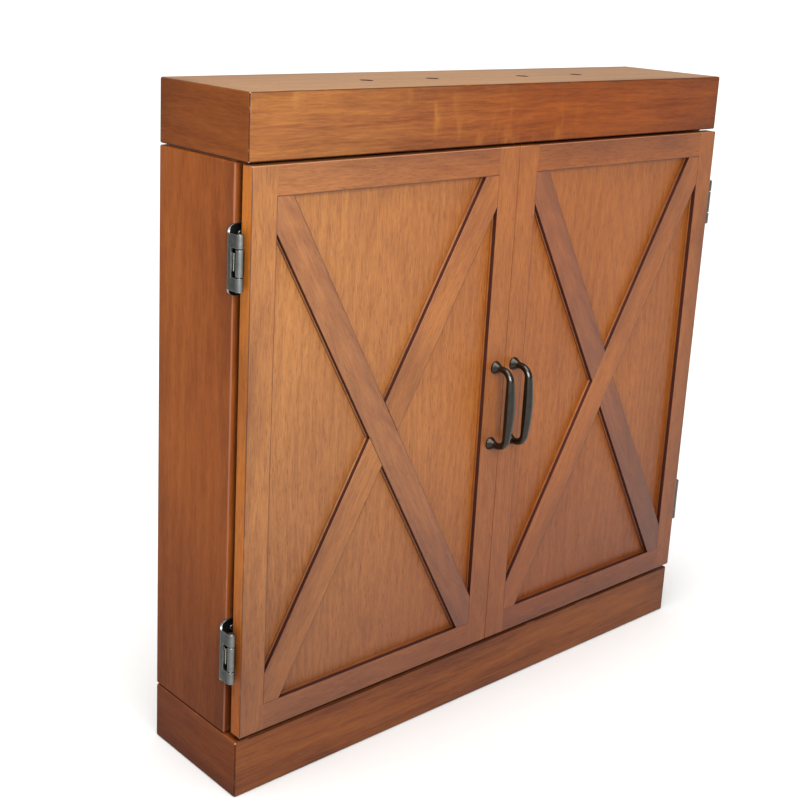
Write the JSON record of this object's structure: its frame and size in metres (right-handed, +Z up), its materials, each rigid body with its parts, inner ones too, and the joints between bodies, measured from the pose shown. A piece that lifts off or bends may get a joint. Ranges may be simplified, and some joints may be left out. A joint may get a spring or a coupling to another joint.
{
  "type": "dart board cabinet",
  "caption": "Shallow wall cabinet for a dart board, with a box cornice and base and barn-style doors with X braces that open on self-closing hinges.",
  "frame": {"origin": "on the cabinet's flat back face, on the centre line and level with the bull's-eye", "axes": "+X to the right as one faces the doors, +Y through the cabinet into the wall, +Z up"},
  "size_m": [0.7426, 0.1857, 0.729],
  "materials": {
    "stained_wood": "reddish-brown stain under a satin lacquer, arrises burnished dark",
    "brace_wood": "the same stain on a redder board, satin lacquer",
    "inner_wood": "thin brown stain, matt",
    "pewter": "antique pewter plate, rubbed bright on the edges",
    "spring_steel": "bright spring steel",
    "bronze": "dark oil-rubbed bronze, soft sheen",
    "zinc_steel": "zinc plated steel",
    "slate": "matt chalkboard paint",
    "sisal": "pressed sisal fibre in dyed segments"
  },
  "bodies": {
    "cabinet": {"back_panel": "inner_wood", "base_bottom": "inner_wood", "base_front_board": "stained_wood", "base_left_board": "stained_wood", "base_right_board": "stained_wood", "base_top": "inner_wood", "cornice_floor": "inner_wood", "cornice_front_board": "stained_wood", "cornice_left_board": "stained_wood", "cornice_right_board": "stained_wood", "dartboard_bracket": "zinc_steel", "left_lower_hinge_frame_leaf": "pewter", "left_lower_hinge_pin": "pewter", "left_lower_hinge_spring": "spring_steel", "left_side_panel": "stained_wood", "left_upper_hinge_frame_leaf": "pewter", "left_upper_hinge_pin": "pewter", "left_upper_hinge_spring": "spring_steel", "right_lower_hinge_frame_leaf": "pewter", "right_lower_hinge_pin": "pewter", "right_lower_hinge_spring": "spring_steel", "right_side_panel": "stained_wood", "right_upper_hinge_frame_leaf": "pewter", "right_upper_hinge_pin": "pewter", "right_upper_hinge_spring": "spring_steel", "top_panel": "stained_wood"},
    "left_door": {"left_dart_rack": "inner_wood", "left_door_bottom_rail": "stained_wood", "left_door_inner_stile": "stained_wood", "left_door_long_brace": "brace_wood", "left_door_lower_short_brace": "stained_wood", "left_door_outer_stile": "stained_wood", "left_door_panel": "stained_wood", "left_door_top_rail": "stained_wood", "left_door_upper_short_brace": "stained_wood", "left_lower_hinge_door_leaf": "pewter", "left_pull": "bronze", "left_pull_lower_screw": "zinc_steel", "left_pull_upper_screw": "zinc_steel", "left_scoreboard": "slate", "left_upper_hinge_door_leaf": "pewter"},
    "right_door": {"right_dart_rack": "inner_wood", "right_door_bottom_rail": "stained_wood", "right_door_inner_stile": "stained_wood", "right_door_long_brace": "brace_wood", "right_door_lower_short_brace": "stained_wood", "right_door_outer_stile": "stained_wood", "right_door_panel": "stained_wood", "right_door_top_rail": "stained_wood", "right_door_upper_short_brace": "stained_wood", "right_lower_hinge_door_leaf": "pewter", "right_pull": "bronze", "right_pull_lower_screw": "zinc_steel", "right_pull_upper_screw": "zinc_steel", "right_scoreboard": "slate", "right_upper_hinge_door_leaf": "pewter"},
    "dart_board": {"bristle_board": "sisal", "dartboard_hanger": "zinc_steel", "number_ring": "zinc_steel"}
  },
  "joints": [
    {"name": "left_door_hinge", "type": "hinge", "parent": "cabinet", "child": "left_door", "pos_m": [-0.36725, -0.14675, 0], "axis": [0, 0, -1], "range_deg": [0, 180], "stiffness_Nm_per_rad": 0.1, "springref_deg": -28.65},
    {"name": "right_door_hinge", "type": "hinge", "parent": "cabinet", "child": "right_door", "pos_m": [0.36725, -0.14675, 0], "axis": [0, 0, 1], "range_deg": [0, 180], "stiffness_Nm_per_rad": 0.1, "springref_deg": -28.65},
    {"name": "dart_board_lift", "type": "slide", "parent": "cabinet", "child": "dart_board", "axis": [0, 0, 1], "range_m": [0, 0.034]}
  ]
}
